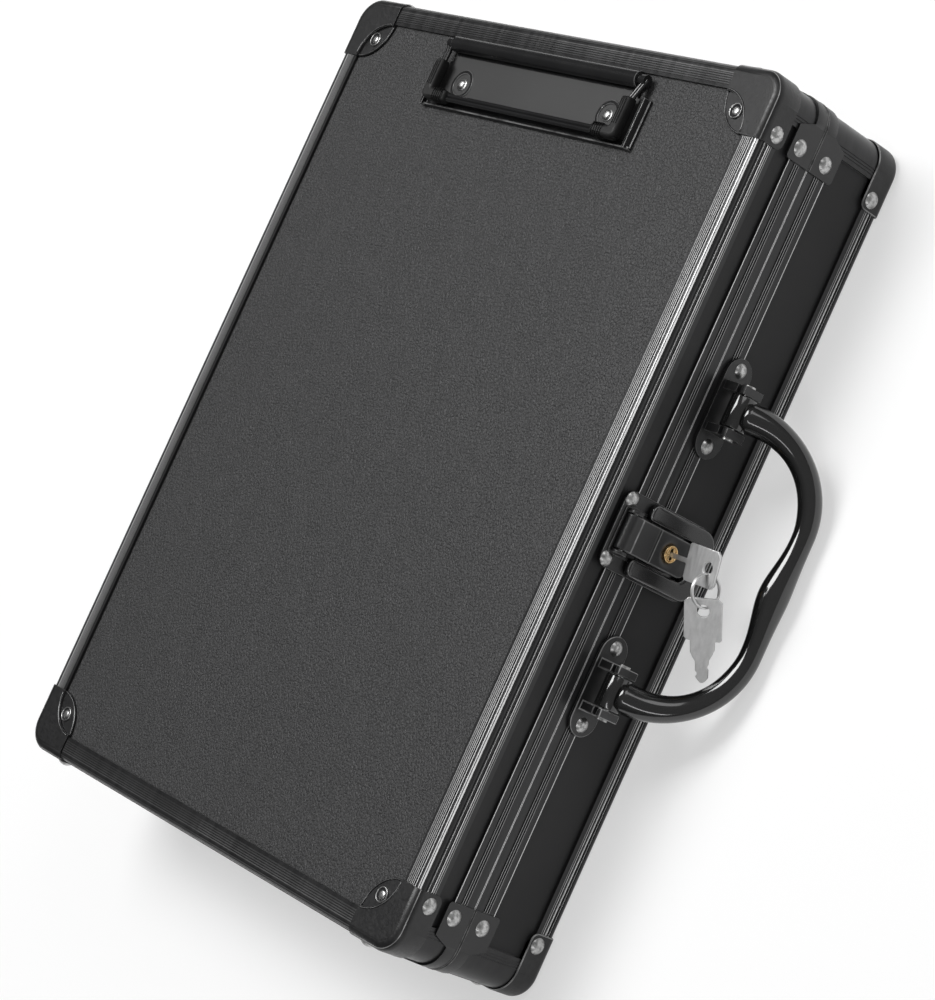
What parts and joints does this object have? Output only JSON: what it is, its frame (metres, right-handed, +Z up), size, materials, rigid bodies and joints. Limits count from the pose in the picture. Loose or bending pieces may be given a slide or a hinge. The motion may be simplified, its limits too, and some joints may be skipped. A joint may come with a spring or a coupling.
{
  "type": "storage clipboard",
  "caption": "Black framed storage clipboard: a shallow lockable case with a paper clip on its lid, a carrying handle, and keys in the latch.",
  "frame": {"origin": "centre of the back face that the case rests on", "axes": "+X towards the latch and handle side, -X the lid hinge; +Y towards the paper clip; +Z up out of the lid"},
  "size_m": [0.3031, 0.3468, 0.0796],
  "materials": {
    "panel_cover": "embossed vinyl grain, satin",
    "board_cover": "smooth matte laminate",
    "lining": "matte felt",
    "black_anodised": "black anodised, ribbed",
    "black_coated_steel": "satin black, fine texture",
    "gloss_black_metal": "gloss black",
    "nickel": "nickel plated, satin",
    "brass": "turned brass",
    "key_steel": "stamped nickel-plated steel",
    "handle_plastic": "gloss moulded",
    "rubber": "matte ribbed"
  },
  "bodies": {
    "base": {"back_panel": "board_cover", "base_lining": "lining", "base_long_boards": "board_cover", "base_short_boards": "board_cover", "base_edge_sides": "black_anodised", "base_edge_ends": "black_anodised", "base_rim_sides": "black_anodised", "base_rim_ends": "black_anodised", "base_corner_posts": "black_anodised", "back_cap_latch_clip": "black_coated_steel", "back_cap_latch_foot": "black_coated_steel", "back_cap_hinge_clip": "black_coated_steel", "back_cap_hinge_foot": "black_coated_steel", "base_braces": "black_coated_steel", "base_rivets": "nickel", "hinge_leaf_base": "black_coated_steel", "hinge_pin": "nickel", "latch_bezel": "gloss_black_metal", "handle_bracket_clip": "black_coated_steel", "handle_bracket_foot": "black_coated_steel", "handle_pins": "nickel", "bracket_rivets": "nickel"},
    "lid": {"lid_panel": "panel_cover", "lid_lining": "lining", "lid_long_boards": "board_cover", "lid_short_boards": "board_cover", "lid_edge_sides": "black_anodised", "lid_edge_ends": "black_anodised", "lid_rim_sides": "black_anodised", "lid_rim_ends": "black_anodised", "lid_corner_posts": "black_anodised", "lid_cap_latch_clip": "black_coated_steel", "lid_cap_latch_foot": "black_coated_steel", "lid_cap_hinge_clip": "black_coated_steel", "lid_cap_hinge_foot": "black_coated_steel", "lid_braces": "black_coated_steel", "lid_rivets": "nickel", "cap_eyelets": "nickel", "hinge_leaf_lid": "black_coated_steel", "catch_plate": "gloss_black_metal", "catch_rivets": "nickel", "hasp_pin": "nickel", "clip_base": "gloss_black_metal", "clip_rivets": "nickel", "clip_torsion_rod": "gloss_black_metal"},
    "latch": {"hasp": "gloss_black_metal", "lock_cylinder": "brass"},
    "lock": {"lock_plug": "brass", "lock_cam": "nickel", "key_in_lock": "key_steel"},
    "ring": {"key_ring": "key_steel"},
    "spare": {"spare_key": "key_steel"},
    "carry_handle": {"handle": "handle_plastic"},
    "jaw": {"clip_jaw": "gloss_black_metal", "clip_grips": "rubber"}
  },
  "joints": [
    {"name": "lid_hinge", "type": "hinge", "parent": "base", "child": "lid", "pos_m": [-0.1304, 0, 0.0438], "axis": [0, -1, 0], "range_deg": [0, 120]},
    {"name": "latch_hinge", "type": "hinge", "parent": "lid", "child": "latch", "pos_m": [0.1316, -0.001, 0.0546], "axis": [0, -1, 0], "range_deg": [0, 85]},
    {"name": "lock_turn", "type": "hinge", "parent": "latch", "child": "lock", "pos_m": [0.1316, -0.001, 0.0328], "axis": [-1, 0, 0], "range_deg": [0, 90]},
    {"name": "ring_swing", "type": "hinge", "parent": "lock", "child": "ring", "pos_m": [0.1542, -0.001, 0.0328], "axis": [0, -0.2419, 0.9703], "range_deg": [-5, 0]},
    {"name": "spare_swing", "type": "hinge", "parent": "ring", "child": "spare", "pos_m": [0.15633, -0.01532, 0.02889], "axis": [-0.5943, 0.4337, -0.6773], "range_deg": [0, 8]},
    {"name": "handle_hinge", "type": "hinge", "parent": "base", "child": "carry_handle", "pos_m": [0.1373, 0, 0.0343], "axis": [0, -1, 0], "range_deg": [-40, 135]},
    {"name": "clip_hinge", "type": "hinge", "parent": "lid", "child": "jaw", "pos_m": [0.0015, 0.1578, 0.0739], "axis": [-1, 0, 0], "range_deg": [0, 50], "stiffness_Nm_per_rad": 0.3, "springref_deg": -20.05}
  ]
}
